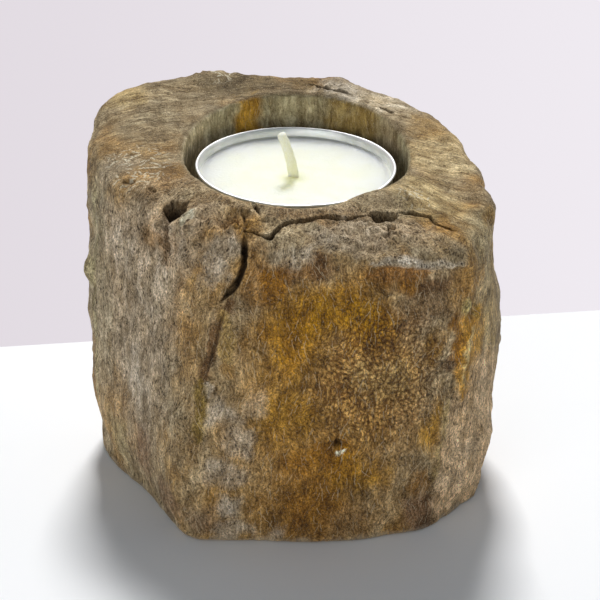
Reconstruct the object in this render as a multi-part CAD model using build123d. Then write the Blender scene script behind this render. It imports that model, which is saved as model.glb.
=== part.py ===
"""Tealight holder: a block of petrified wood with a drilled well, and the tealight that stands in it.

Frame: millimetres, +Z up, origin on the table under the middle of the block, -Y to the front.
The block is one stone. Its top slopes down to the front, so the well is deeper at the back.
The tealight is a drawn aluminium cup and a paraffin candle that lifts out of it: wax, cotton wick
and the steel sustainer that holds the wick upright.
"""

from build123d import *
import os

# Well: one straight drilled bore, wide enough to drop in a standard 38 mm tealight by hand.
WELL_X, WELL_Y = 0.25, 1.2
WELL_RADIUS = 21.75
WELL_FLOOR_Z = 49.5
WELL_MOUTH_ROUNDING = 0.6

# Top of the block: a plane that falls towards the front, dropping faster near the front edge and
# off to the right.
TOP_Z_AT_WELL = 68.0
TOP_SLOPE = 0.14
FRONT_DROP_Y = -21.3
FRONT_DROP = 0.016
RIGHT_DROP_X = 13.6
RIGHT_DROP = 0.0085
TOP_EDGE_ROUNDING = 3.0
BASE_EDGE_ROUNDING = 0.8
TOP_HALF_SPAN = 48.0
TOP_GRID = 17
TOP_WASTE = 24.0

# Outlines of the block at five heights, as twelve points each, anticlockwise from the front-left
# corner: front-left corner, front, front-right corner, right facet, right, back right, back right
# corner, back, back left, left corner, left, front-left facet.
OUTLINES = {
    0.0: [(-16.2, -33.1), (3.6, -32.8), (25.6, -27.5), (36.6, -15.9), (38.8, -1.3), (36.1, 12.7),
          (23.1, 24.2), (4.6, 29.2), (-18.4, 29.7), (-33.9, 18.7), (-38.4, -0.3), (-28.6, -18.7)],
    18.0: [(-17.4, -32.7), (5.6, -32.7), (29.1, -26.2), (37.6, -16.3), (40.3, -1.3), (37.6, 12.7),
           (23.6, 24.7), (5.6, 29.7), (-18.4, 30.2), (-34.9, 19.2), (-39.8, 0.7), (-29.3, -18.3)],
    38.0: [(-14.2, -31.9), (7.6, -32.5), (31.6, -25.3), (37.8, -16.8), (40.8, -1.3), (37.6, 12.2),
           (24.1, 24.4), (6.6, 29.9), (-18.4, 30.7), (-36.4, 19.7), (-40.2, 1.7), (-28.6, -17.8)],
    55.0: [(-10.9, -30.9), (8.6, -32.3), (32.2, -25.5), (36.2, -18.8), (37.2, -2.3), (35.1, 9.7),
           (23.9, 24.0), (7.6, 30.3), (-18.4, 31.4), (-37.3, 20.5), (-40.4, 2.2), (-28.0, -17.3)],
    76.0: [(-9.4, -30.3), (8.6, -32.1), (31.4, -25.8), (35.2, -19.3), (35.6, -5.3), (33.1, 8.5),
           (23.8, 23.6), (8.1, 30.6), (-18.4, 32.1), (-37.7, 21.3), (-40.4, 2.7), (-27.4, -16.8)],
}

# Breaks in the stone: a crack that runs along the front of the top, one that runs down from it
# beside the front-left ridge, and a pit in the front-left of the top.
TOP_CRACK = [(-9.0, -27.3), (-2.7, -26.9), (2.4, -25.0), (9.6, -24.4), (13.8, -21.8),
             (18.6, -22.7), (22.0, -20.8), (28.5, -24.3)]
TOP_CRACK_WIDTH = 0.9
TOP_CRACK_DEPTH = 2.2
SIDE_CRACK = [(-8.7, 66.0), (-9.0, 58.5), (-11.0, 54.5), (-13.0, 51.5)]
SIDE_CRACK_WIDTH = 1.4
SIDE_CRACK_BACK_Y = -27.9
SIDE_CRACK_LENGTH = 10.0
PIT_CENTRE = (-21.6, -18.9, 65.2)
PIT_RADIUS = 3.0

# Tealight cup: drawn aluminium, standing on the well's floor.
CUP_HEIGHT = 15.5
CUP_BASE_RADIUS = 18.2
CUP_TOP_RADIUS = 18.95
CUP_WALL = 0.3
CUP_PANEL_RADIUS = 15.0
CUP_PANEL_EDGE = 0.6
CUP_PANEL_LIFT = 0.6
CUP_CORNER = 1.0
RIM_RADIUS = 19.5
RIM_BEAD_RADIUS = 0.4

# Candle: the wax, which stands loose in the cup, and its wick and sustainer.
WAX_CLEARANCE = 0.15
WAX_BELOW_RIM = 2.2
WAX_FOOT_CHAMFER = 1.2
WAX_EDGE_ROUNDING = 0.4
WICK_X, WICK_Y = -0.1, -0.1
WICK_RADIUS = 0.85
WICK_BEND_DEPTH = 0.65
WICK_BEND_RADIUS, WICK_BEND_ANGLE = 8.0, 7.0
WICK_CURL_RADIUS, WICK_CURL_ANGLE = 29.0, 18.5
WICK_TIP_ROUNDING = 0.5
SUSTAINER_RADIUS = 6.5
SUSTAINER_THICKNESS = 0.25
NECK_WALL = 0.3
NECK_HEIGHT = 3.4

PANEL_TOP_Z = WELL_FLOOR_Z + CUP_PANEL_LIFT + CUP_WALL
RIM_Z = WELL_FLOOR_Z + CUP_HEIGHT
WAX_TOP_Z = RIM_Z - WAX_BELOW_RIM
UPRIGHT = (Align.CENTER, Align.CENTER, Align.MIN)


def top_height(x, y):
    """Height of the block's top surface over a point of its plan."""
    front = FRONT_DROP * max(0.0, FRONT_DROP_Y - y) ** 2
    right = RIGHT_DROP * max(0.0, x - RIGHT_DROP_X) ** 2
    return TOP_Z_AT_WELL + TOP_SLOPE * (y - WELL_Y) - front - right


def above_top(depth=0.0):
    """Everything above the block's top surface, or above that surface lowered by a depth."""
    step = 2 * TOP_HALF_SPAN / (TOP_GRID - 1)
    ticks = [-TOP_HALF_SPAN + i * step for i in range(TOP_GRID)]
    rows = [[Vector(x, y, top_height(x, y) - depth) for y in ticks] for x in ticks]
    surface = Face.make_surface_from_array_of_points(rows)
    return Solid.extrude(surface, Vector(0, 0, TOP_WASTE))


def block_sides():
    """The block's walls, lofted through its outlines, from the base to above its top."""
    with BuildPart() as sides:
        for height, points in OUTLINES.items():
            with BuildSketch(Plane.XY.offset(height)):
                with BuildLine():
                    Spline(*points, periodic=True)
                make_face()
        loft()
    return sides.part


def top_crack():
    """The open crack along the front of the top, as deep everywhere below the sloping surface."""
    band = Pos(0, 0, TOP_Z_AT_WELL - TOP_WASTE) * trace(Polyline(*TOP_CRACK), TOP_CRACK_WIDTH)
    return extrude(band, 2 * TOP_WASTE, dir=(0, 0, 1)) & above_top(TOP_CRACK_DEPTH)


def side_crack():
    """The crack that runs down the front from the top crack's left end."""
    band = Plane.XZ.offset(-SIDE_CRACK_BACK_Y) * trace(Polyline(*SIDE_CRACK), SIDE_CRACK_WIDTH)
    return extrude(band, SIDE_CRACK_LENGTH, dir=(0, -1, 0))


def stone_block():
    """The petrified wood block: lofted walls, sloping top, its breaks and the drilled well."""
    block = block_sides() - above_top()
    block = fillet(block.faces().sort_by(Axis.Z)[-1].edges(), TOP_EDGE_ROUNDING)
    block = fillet(block.faces().sort_by(Axis.Z)[0].edges(), BASE_EDGE_ROUNDING)
    well = Pos(WELL_X, WELL_Y, WELL_FLOOR_Z) * Cylinder(WELL_RADIUS, TOP_WASTE * 2, align=UPRIGHT)
    block = block - well
    mouth = block.faces().filter_by(GeomType.CYLINDER).edges().sort_by(Axis.Z)[-1]
    block = fillet(mouth, WELL_MOUTH_ROUNDING)
    pit = Pos(*PIT_CENTRE) * Sphere(PIT_RADIUS)
    return block - top_crack() - side_crack() - pit


def revolved(points):
    """A solid of revolution about the tealight's axis from a profile of radii and heights."""
    face = Plane.XZ * make_face(Polyline(*points, close=True))
    return Pos(WELL_X, WELL_Y, 0) * revolve(face, Axis.Z)


def cup_radius(z, inset=0.0):
    """Radius of the cup's outside at a height, or of a surface inset from it."""
    share = (z - WELL_FLOOR_Z) / CUP_HEIGHT
    return CUP_BASE_RADIUS + share * (CUP_TOP_RADIUS - CUP_BASE_RADIUS) - inset


def cup_body(inset):
    """The cup's solid shape with its raised base panel, grown inwards by an inset."""
    low = WELL_FLOOR_Z + inset
    high = low + CUP_PANEL_LIFT
    body = revolved([
        (0, high),
        (CUP_PANEL_RADIUS, high),
        (CUP_PANEL_RADIUS + CUP_PANEL_EDGE, low),
        (cup_radius(low, inset), low),
        (cup_radius(RIM_Z, inset), RIM_Z),
        (0, RIM_Z),
    ])
    return fillet(foot_edge(body, cup_radius(low, inset)), CUP_CORNER - inset)


def foot_edge(body, radius):
    """The circular edge at the foot of a body's wall."""
    circles = body.edges().filter_by(GeomType.CIRCLE)
    return [e for e in circles if abs(e.radius - radius) < 1e-3]


def tealight_cup():
    """The drawn aluminium cup with its rolled rim."""
    bead = Pos(WELL_X, WELL_Y, RIM_Z - RIM_BEAD_RADIUS) * Torus(
        RIM_RADIUS - RIM_BEAD_RADIUS, RIM_BEAD_RADIUS
    )
    return cup_body(0) - cup_body(CUP_WALL) + bead


def wick():
    """The waxed cotton wick, upright in the candle and leaning to the left above it."""
    with BuildLine(Plane.XZ.offset(-WICK_Y)) as path:
        foot = PANEL_TOP_Z + SUSTAINER_THICKNESS
        stem = Line((WICK_X, foot), (WICK_X, WAX_TOP_Z - WICK_BEND_DEPTH))
        bend = JernArc(stem @ 1, stem % 1, WICK_BEND_RADIUS, WICK_BEND_ANGLE)
        JernArc(bend @ 1, bend % 1, WICK_CURL_RADIUS, WICK_CURL_ANGLE)
    section = Pos(WICK_X, WICK_Y, foot) * Circle(WICK_RADIUS)
    strand = sweep(section, path.line)
    return fillet(strand.faces().sort_by(Axis.Z)[-1].edges(), WICK_TIP_ROUNDING)


def wick_sustainer():
    """The steel disc under the wax with the neck that grips the wick."""
    base = Pos(WICK_X, WICK_Y, PANEL_TOP_Z)
    disc = base * Cylinder(SUSTAINER_RADIUS, SUSTAINER_THICKNESS, align=UPRIGHT)
    neck = base * Cylinder(WICK_RADIUS + NECK_WALL, NECK_HEIGHT, align=UPRIGHT)
    inside = Pos(0, 0, SUSTAINER_THICKNESS) * base * Cylinder(WICK_RADIUS, NECK_HEIGHT, align=UPRIGHT)
    return disc + neck - inside


def wax():
    """The paraffin, cast round the wick and its sustainer, with a clear gap to the cup's wall."""
    inset = CUP_WALL + WAX_CLEARANCE
    foot = cup_radius(PANEL_TOP_Z, inset)
    cast = revolved([
        (0, PANEL_TOP_Z),
        (foot - WAX_FOOT_CHAMFER, PANEL_TOP_Z),
        (cup_radius(PANEL_TOP_Z + WAX_FOOT_CHAMFER, inset), PANEL_TOP_Z + WAX_FOOT_CHAMFER),
        (cup_radius(WAX_TOP_Z, inset), WAX_TOP_Z),
        (0, WAX_TOP_Z),
    ])
    cast = fillet(cast.faces().sort_by(Axis.Z)[-1].edges(), WAX_EDGE_ROUNDING)
    return cast - wick() - wick_sustainer()


os.makedirs("parts", exist_ok=True)
for piece in (stone_block, tealight_cup, wax, wick, wick_sustainer):
    export_step(piece(), f"parts/{piece.__name__}.step")
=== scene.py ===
"""Looks for the petrified-wood tealight holder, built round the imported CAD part. Blender 4.5, metres."""

import math
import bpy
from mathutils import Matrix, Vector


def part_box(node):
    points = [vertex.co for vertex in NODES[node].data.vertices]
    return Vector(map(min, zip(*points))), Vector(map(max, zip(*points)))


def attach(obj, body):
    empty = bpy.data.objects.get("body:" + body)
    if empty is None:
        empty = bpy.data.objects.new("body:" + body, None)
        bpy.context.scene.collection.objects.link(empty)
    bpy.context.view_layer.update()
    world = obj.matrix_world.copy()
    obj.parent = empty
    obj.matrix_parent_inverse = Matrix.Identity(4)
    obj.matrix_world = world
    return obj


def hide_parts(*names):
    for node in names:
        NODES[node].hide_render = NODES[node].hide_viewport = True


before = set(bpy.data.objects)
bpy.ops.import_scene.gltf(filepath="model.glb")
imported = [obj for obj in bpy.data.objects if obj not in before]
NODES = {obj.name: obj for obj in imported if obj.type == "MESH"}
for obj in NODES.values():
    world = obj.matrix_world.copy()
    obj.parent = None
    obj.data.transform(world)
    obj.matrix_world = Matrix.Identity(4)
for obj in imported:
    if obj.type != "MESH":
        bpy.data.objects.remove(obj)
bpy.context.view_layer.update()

from types import SimpleNamespace

import bmesh
import bpy
import numpy as np
from mathutils import Matrix, Vector, noise

MM = 0.001  # shapes are in millimetres, the stage and its lights in metres
CUP_LOW, CUP_HIGH = (np.array(c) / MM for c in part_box("tealight_cup"))
WAX_HIGH = np.array(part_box("wax")[1]) / MM
WICK_LOW = np.array(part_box("wick")[0]) / MM
AXIS_X, AXIS_Y = (CUP_LOW[:2] + CUP_HIGH[:2]) / 2
FLOOR_Z, RIM_Z, WAX_Z = CUP_LOW[2], CUP_HIGH[2], WAX_HIGH[2]
WELL_RADIUS = 21.75
WICK_X, WICK_Y, WICK_RADIUS = -0.1, -0.1, 0.85


# ---- mesh helpers
def mesh_object(name, verts, faces, body, node):
    """A new mesh piece from millimetre vertices, riding on a body and standing for a CAD node."""
    mesh = bpy.data.meshes.new(name)
    mesh.from_pydata([tuple(np.asarray(v) * MM) for v in verts], [], faces)
    mesh.update()
    return place(mesh, name, body, node)


def place(mesh, name, body, node):
    """Puts a mesh in the scene as a piece on a body, standing for a CAD node."""
    mesh.shade_smooth()
    obj = bpy.data.objects.new(name, mesh)
    link(obj)
    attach(obj, body)
    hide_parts(node)
    return obj


def link(obj):
    """Puts an object in the scene."""
    bpy.context.scene.collection.objects.link(obj)


def applied(obj):
    """The object's mesh with its modifiers applied. The object itself is removed."""
    graph = bpy.context.evaluated_depsgraph_get()
    mesh = bpy.data.meshes.new_from_object(obj.evaluated_get(graph))
    bpy.data.objects.remove(obj)
    return mesh


def read(mesh, field):
    """A vector field of a mesh's vertices as an array."""
    flat = np.empty(len(mesh.vertices) * 3)
    mesh.vertices.foreach_get(field, flat)
    return flat.reshape(-1, 3)


def write_points(mesh, points):
    """Puts millimetre points back into a mesh."""
    mesh.vertices.foreach_set("co", (points * MM).ravel())
    mesh.update()


def add_colours(mesh, name, values):
    """Stores four numbers for each vertex, for the materials to read."""
    layer = mesh.color_attributes.new(name, "FLOAT_COLOR", "POINT")
    layer.data.foreach_set("color", values.ravel())


def fbm(points, size, octaves=4, seed=0, squash=(1.0, 1.0, 1.0)):
    """Fractal noise of about -1 to 1, with features of a size in millimetres."""
    q = points * np.array(squash) / size + np.array([seed * 7.31, seed * 3.77, seed * 5.13])
    return np.array([noise.fractal(p, 1.0, 2.0, octaves) for p in q.tolist()])


def fbm_vector(points, size, octaves=2, seed=0):
    """Three fields of fractal noise, for warping."""
    return np.stack([fbm(points, size, octaves, seed + k * 11.0) for k in range(3)], 1)


def step(x, low, high):
    """Smooth step from 0 at low to 1 at high."""
    t = np.clip((x - low) / (high - low), 0.0, 1.0)
    return t * t * (3.0 - 2.0 * t)


def column(values):
    """Numbers as a column, to multiply rows of vectors."""
    return np.asarray(values)[:, None]


def mixed(share, first, second):
    """Vectors mixed row by row, from the first at 0 to the second at 1."""
    return np.array(first) * (1 - column(share)) + np.array(second) * column(share)


def blob_distance(points, centre, radii):
    """Distance from a centre, as a share of the radii."""
    return np.linalg.norm((points - np.array(centre)) / np.array(radii), axis=1)


def from_axis(points):
    """Distances of points from the tealight's upright axis."""
    return np.hypot(points[:, 0] - AXIS_X, points[:, 1] - AXIS_Y)


def line_distance(points, line, weights=(1.0, 1.0, 1.0)):
    """Distance from each point to a polyline, and how far along it the nearest place is, 0 to 1."""
    line, points = np.array(line, float) * weights, points * weights
    best, along = np.full(len(points), 1e9), np.zeros(len(points))
    lengths = np.linalg.norm(np.diff(line, axis=0), axis=1)
    total, done = lengths.sum(), 0.0
    for a, b, length in zip(line[:-1], line[1:], lengths):
        t = np.clip(((points - a) @ (b - a)) / length**2, 0.0, 1.0)
        d = np.linalg.norm(points - (a + t[:, None] * (b - a)), axis=1)
        nearer = d < best
        best[nearer] = d[nearer]
        along[nearer] = (done + t[nearer] * length) / total
        done += length
    return best, along


# ---- material helpers
SHADE_TINTS = ((1.03, 0.985), (0.98, 1.0), (0.89, 1.02))  # red, green, blue, at the dark and bright end
NEEDLE_BOW = 0.08


class Shader:
    """Short calls for building one node material."""

    def __init__(self, name):
        self.material = bpy.data.materials.new(name)
        self.material.use_nodes = True
        self.tree = self.material.node_tree
        self.bsdf = self.tree.nodes["Principled BSDF"]

    def node(self, kind, out=0, settings=None, **inputs):
        """Adds a node, feeds its inputs, by name or as i and a number, and returns one output."""
        made = self.tree.nodes.new("ShaderNode" + kind)
        for key, value in (settings or {}).items():
            setattr(made, key, value)
        for key, value in inputs.items():
            socket = made.inputs[int(key[1:]) if key[0] == "i" and key[1:].isdigit() else key]
            self.feed(socket, value)
        return made.outputs[out]

    def feed(self, socket, value):
        """Links an output to a socket, or sets the socket to a value."""
        if isinstance(value, bpy.types.NodeSocket):
            self.tree.links.new(value, socket)
        else:
            socket.default_value = value

    def math(self, operation, a, b=0.0, c=0.0):
        """Arithmetic on numbers."""
        return self.node("Math", settings={"operation": operation}, i0=a, i1=b, i2=c)

    def times(self, *values):
        """The product of numbers."""
        product = values[0]
        for value in values[1:]:
            product = self.math("MULTIPLY", product, value)
        return product

    def vector(self, operation, a, b=(0, 0, 0)):
        """Arithmetic on vectors."""
        return self.node("VectorMath", settings={"operation": operation}, i0=a, i1=b)

    def squashed(self, coords, *shares):
        """Coordinates scaled along each axis."""
        return self.vector("MULTIPLY", coords, shares)

    def moved(self, coords, by, *reach):
        """Coordinates moved by a vector, scaled along each axis."""
        return self.vector("ADD", coords, self.vector("MULTIPLY", by, reach))

    def length(self, vector):
        """The length of a vector."""
        return self.node("VectorMath", 1, {"operation": "LENGTH"}, i0=vector)

    def axes(self, vector):
        """The X, Y and Z of a vector."""
        return tuple(self.node("SeparateXYZ", 0, None, i0=vector).node.outputs)

    def joined(self, x, y):
        """A flat vector of two numbers."""
        return self.node("CombineXYZ", 0, None, i0=x, i1=y)

    def attribute(self, name):
        """A colour attribute of the mesh."""
        return self.node("Attribute", 0, {"attribute_name": name})

    def channels(self, colour, mode="RGB"):
        """The three channels of a colour."""
        return tuple(self.node("SeparateColor", 0, {"mode": mode}, i0=colour).node.outputs)

    def ramp(self, value, low, high, to_low=0.0, to_high=1.0):
        """A smooth change from one number to another as a value goes from low to high."""
        return self.node("MapRange", settings={"interpolation_type": "SMOOTHSTEP"},
                         i0=value, i1=low, i2=high, i3=to_low, i4=to_high)

    def mix(self, share, a, b, blend="MIX"):
        """A mix of two colours."""
        return self.node("Mix", 2, {"data_type": "RGBA", "blend_type": blend},
                         i0=share, i6=a, i7=b)

    def millimetres(self):
        """The object's own coordinates, in millimetres."""
        scaled = self.vector("SCALE", self.node("TexCoord", 3))
        scaled.node.inputs["Scale"].default_value = 1.0 / MM
        return scaled

    def drift(self, coords, scale):
        """A random vector that changes smoothly, from -0.5 to 0.5 along each axis."""
        colour = self.node("TexNoise", 1, None, Vector=coords, Scale=scale, Detail=2.0)
        return self.vector("SUBTRACT", colour, (0.5, 0.5, 0.5))

    def noise(self, coords, scale, detail=3.0, roughness=0.55):
        """Fractal noise, about 0.5, with a scale in features per millimetre."""
        return self.node("TexNoise", 0, None, Vector=coords, Scale=scale, Detail=detail,
                         Roughness=roughness)

    def cell_pattern(self, coords, scale, out=0):
        """Distance to the middle of the nearest random cell, or with out=1 each cell's own colour."""
        return self.node("TexVoronoi", out, None, Vector=coords, Scale=scale)

    def bump(self, height, strength, distance):
        """A normal bent by a height, with the distance in metres."""
        return self.node("Bump", 0, None, Strength=strength, Distance=distance, Height=height)

    def shade(self, value, low, high, dark, bright):
        """A multiplying colour that goes from a warm dark to a neutral bright."""
        red, green, blue = (self.ramp(value, low, high, dark * warm, bright * cool)
                            for warm, cool in SHADE_TINTS)
        return self.node("CombineColor", 0, None, i0=red, i1=green, i2=blue)

    def needles(self, flat, scale, reach, width, lean, share):
        """Short straight needles, one to a cell of a flat pattern, leaning at random."""
        cell = self.node("TexVoronoi", 1, {"voronoi_dimensions": "2D"}, Vector=flat, Scale=scale)
        turn, chance, bend = self.channels(cell)
        away = self.vector("SUBTRACT", flat, cell.node.outputs["Position"])
        turned = self.node("VectorRotate", 0, {"rotation_type": "Z_AXIS"}, Vector=away,
                           Angle=self.math("MULTIPLY_ADD", turn, lean, -lean / 2))
        across, along, _ = self.axes(turned)
        bow = self.math("MULTIPLY_ADD", bend, 2 * NEEDLE_BOW, -NEEDLE_BOW)
        across = self.math("MULTIPLY_ADD", self.times(along, along), bow, across)
        thin = self.ramp(self.math("ABSOLUTE", across), 0.3 * width, width, 1, 0)
        short = self.ramp(self.math("ABSOLUTE", along), 0.5 * reach, reach, 1, 0)
        kept = self.ramp(chance, 1.0 - share, 1.02 - share)
        return self.times(thin, short, kept)

    def two_needles(self, flat, shift, first, second):
        """Two sizes of needle together, the second pattern shifted away from the first."""
        return self.math("MAXIMUM", self.needles(flat, *first),
                         self.needles(self.vector("ADD", flat, (*shift, 0.0)), *second))

    def finish(self, **inputs):
        """Sets or links the surface's own inputs, and returns the material."""
        for key, value in inputs.items():
            self.feed(self.bsdf.inputs[key.replace("_", " ")], value)
        return self.material


# ---- the stone's shape
VOXEL = 0.74  # the even faces' size
MEAN_RADIUS = 36.0  # the block's, to measure round it
REFINED = (2.0, 0.8)  # how far round a crack the faces are split, one pass after the other
SOFTENING = 120  # rounds of smoothing on the worn edge
SEARCH, OUTER_SKIN = 1.5, 4.0  # how near to a crack's point, and how far in, its surface can be

# Which way a line faces: distances along that axis count for less.
TOP, FRONT, SIDE = (1.0, 1.0, 0.2), (1.0, 0.25, 1.0), (0.25, 1.0, 1.0)

# Cracks and pits: facing, points, half-width, depth, and the shade painted inside each.
CRACKS = [
    (TOP, [(-9, -27, 63), (-6.5, -27.5, 63), (-4, -28.3, 62.5), (-2.5, -26.3, 63.5), (-0.5, -25, 64),
           (2.5, -24.5, 64), (6, -23.2, 64), (9.5, -23.6, 64), (14, -22.5, 65)], 0.45, 2.2, 1),
    (TOP, [(14, -22.2, 65), (16.8, -22.4, 64.5), (19.3, -21, 63.5)], 1.3, 4.2, 1),
    (TOP, [(19, -20.6, 64.5), (22, -19.4, 64.5), (25.5, -19.2, 63.5), (26.5, -21.5, 63),
           (30.5, -21.7, 62)], 0.45, 1.6, 0.8),
    (FRONT, [(-9, -27, 64.5), (-8.6, -28, 61), (-8.8, -28, 58), (-9.6, -28, 55.5), (-11, -29, 53),
             (-13, -30, 50.8)], 0.62, 2.8, 1),
    (TOP, [(-8.8, -17.2, 65), (-7.4, -20, 64.6), (-6, -24, 64.2)], 0.4, 1.4, 0.8),
    (TOP, [(20.8, -13.5, 65.6), (21.3, -17, 65.6)], 0.3, 1.2, 0.7),
    (TOP, [(17.5, -24, 64.5), (17.8, -28, 63)], 0.3, 1, 0.6),
    (TOP, [(2.7, 26.5, 71.4), (6, 24.9, 71.4), (9, 23.8, 71.3), (11.5, 22.8, 71)], 0.55, 1.6, 0.8),
    (TOP, [(16.5, 18.7, 70), (19.5, 16.2, 70)], 0.45, 1.2, 0.7),
    (TOP, [(-20.2, -17.2, 64), (-22.2, -18.7, 63), (-23.6, -21.3, 61.8)], 2, 3.6, 1),
    (TOP, [(-23.4, -21.5, 62), (-24, -22.8, 60)], 1, 1.4, 0.5),
    (TOP, [(-32.5, -9.8, 65), (-30, -10.3, 65.8)], 0.85, 0.7, 0.4),
    (TOP, [(-27.6, -12.8, 65.6), (-25.6, -13.9, 65.3)], 0.6, 0.6, 0.35),
    (FRONT, [(-11.5, -31, 51), (-12.9, -31.5, 46.5), (-14.2, -31.5, 41.5), (-15.6, -32, 36)],
     0.4, 0.6, 0.35),
    (FRONT, [(9, -33, 23.6), (9.3, -33, 21.9)], 0.85, 1.2, 0.85),
    (FRONT, [(-9, -32, 43), (-4, -32.5, 40.5)], 0.25, 0.5, 0.3),
    # the far sides
    (FRONT, [(-10, 31, 67), (-9.6, 32, 63), (-8.5, 32, 60.5), (-9.2, 32, 57), (-9, 32, 54),
             (-10.8, 32, 50), (-10.2, 32, 46), (-10.6, 32, 43)], 0.45, 1.8, 0.9),
    (FRONT, [(-9.2, 32, 54.5), (-7, 32, 53.8), (-5.4, 32, 51.2), (-3.4, 32, 50.6), (-2.5, 32, 47)],
     0.3, 1, 0.7),
    (FRONT, [(13, 31, 31), (14.8, 31, 28), (14.6, 31, 25), (16.4, 31, 22), (15.5, 31, 17)],
     0.45, 1.5, 0.8),
    (SIDE, [(-41, 12, 61), (-41, 10.5, 57.5), (-41, 10.8, 54), (-41, 9.6, 51), (-41, 11.2, 47),
            (-41, 11, 43)], 0.4, 1.5, 0.85),
    (SIDE, [(-41, 10, 25), (-41, 11.5, 21)], 1.2, 1.3, 0.5),
    (SIDE, [(41, 7, 57), (41, 7.4, 53), (41, 9, 50), (41, 8.3, 46), (41, 6.2, 43), (41, 6.6, 39),
            (41, 5.8, 34)], 0.45, 1.7, 0.9),
    (SIDE, [(41, 14, 21), (41, 16, 16)], 1.1, 1.2, 0.5),
]

# Raised veins: facing, points, half-width and height.
RIDGES = [
    (FRONT, [(-12.6, -31, 49), (-11.6, -32, 45), (-11.8, -32, 40)], 1.6, 0.7),
    (FRONT, [(-16.2, -32, 35), (-16.9, -32, 27)], 1.2, 0.4),
    (FRONT, [(34, -22, 45), (33.2, -23.5, 38), (32.6, -24, 28)], 1.1, 0.8),
    (FRONT, [(30, -26.5, 29), (29, -26.6, 20), (27.8, -26.6, 11)], 0.7, 0.5),
    (FRONT, [(20, 31, 66), (16, 31.5, 48), (19, 30.5, 30), (14, 31.5, 8)], 1.5, 0.8),
    (SIDE, [(41, -2, 30), (41, 1, 20), (40.5, -1, 8)], 1.3, 0.6),
]
# The worn foot at the front left: its line, half-width and depth.
FOOT = [(-40, 1, 8), (-38, -3.5, 4), (-34, -10, 2), (-29, -18, 1), (-24, -27, 0)], 5.5, 1.6

# Craggy places, broken into small blocks: centre, radii and height.
CRAGS = [
    ((-13, -23.5, 62), (12, 6, 6), 1.4), ((12, -26.5, 62.5), (14, 4.5, 4), 1.1),
    ((-25, -19, 58), (7, 6, 6), 0.9), ((7, 28, 71.5), (8, 4.5, 4), 0.7),
    ((-18, 29, 71), (8, 4, 4), 0.5),
]

# The surface's roughness: size, octaves, seed and height.
WAVES = [(26, 3, 1, 0.5), (8, 4, 3, 0.18), (2.2, 3, 5, 0.14)]

# Lumps and hollows: centre, radius and height.
LUMPS = [
    ((-40.6, 0.3, 42), 3.2, 1.7),
    ((-40.5, -1, 50.5), 4, -1),
    ((-40.2, 0.5, 34), 6, 0.8),
    ((36.8, -19.5, 1), 4, -1.6),
    ((20, -32.5, 1), 5, -0.9),
    ((36.5, -8, 62.5), 5, 1.7),
    ((-29.5, 24.5, 71), 9, 1.1),
    ((32.5, 9.5, 67), 6, 1.4),
    ((34.2, 1, 65), 6.5, 1.6),
    ((38.5, -13.5, 13), 9, 1.4),
    ((-40, 2, 14), 7, 0.6),
    ((40.5, -3, 38), 8, 0.6),
    ((38.5, -8, 56), 5, 0.8),
    ((37.5, -12, 63), 6, 1.6),
    ((37, -2, 65.5), 7, 1.3),
    ((38.8, -6, 50), 4, -1),
    ((-17.5, 30.5, 71.8), 5.5, 1.8),
    ((8.5, 31, 71.2), 4, 1.6),
    ((-37, 20, 70), 5, 0.8),
    ((-40, 10, 68.5), 4, -1.1),
    ((29, 16, 69), 7, 1),
    ((21, -15.5, 65.5), 3, 0.8),
    ((-17, -20.6, 64.2), 2.6, 0.9),
    ((-14.3, -22.2, 64), 2.3, 0.9),
    ((-11.4, -24.2, 63.8), 2.6, 0.8),
    ((-25.2, -18.6, 61), 2.6, 0.7),
    ((-7, -29.5, 61), 3.2, 0.7),
    ((32.8, -24.6, 47.8), 1.8, 0.9),
    ((34.8, -22.2, 45), 1.7, 0.9),
    ((34, -25, 1), 4.5, -1.5),
    ((27.5, -29, 1), 4, 0.7),
    ((-20, 33, 30), 8, 1.3),
    ((22, 31, 56), 7, -1.1),
    ((4, 34, 40), 6, 0.9),
    ((41, 10, 28), 7, 1),
    ((-41, 14, 35), 8, 1),
    ((-41, 13, 60), 6, -1),
]

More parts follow.
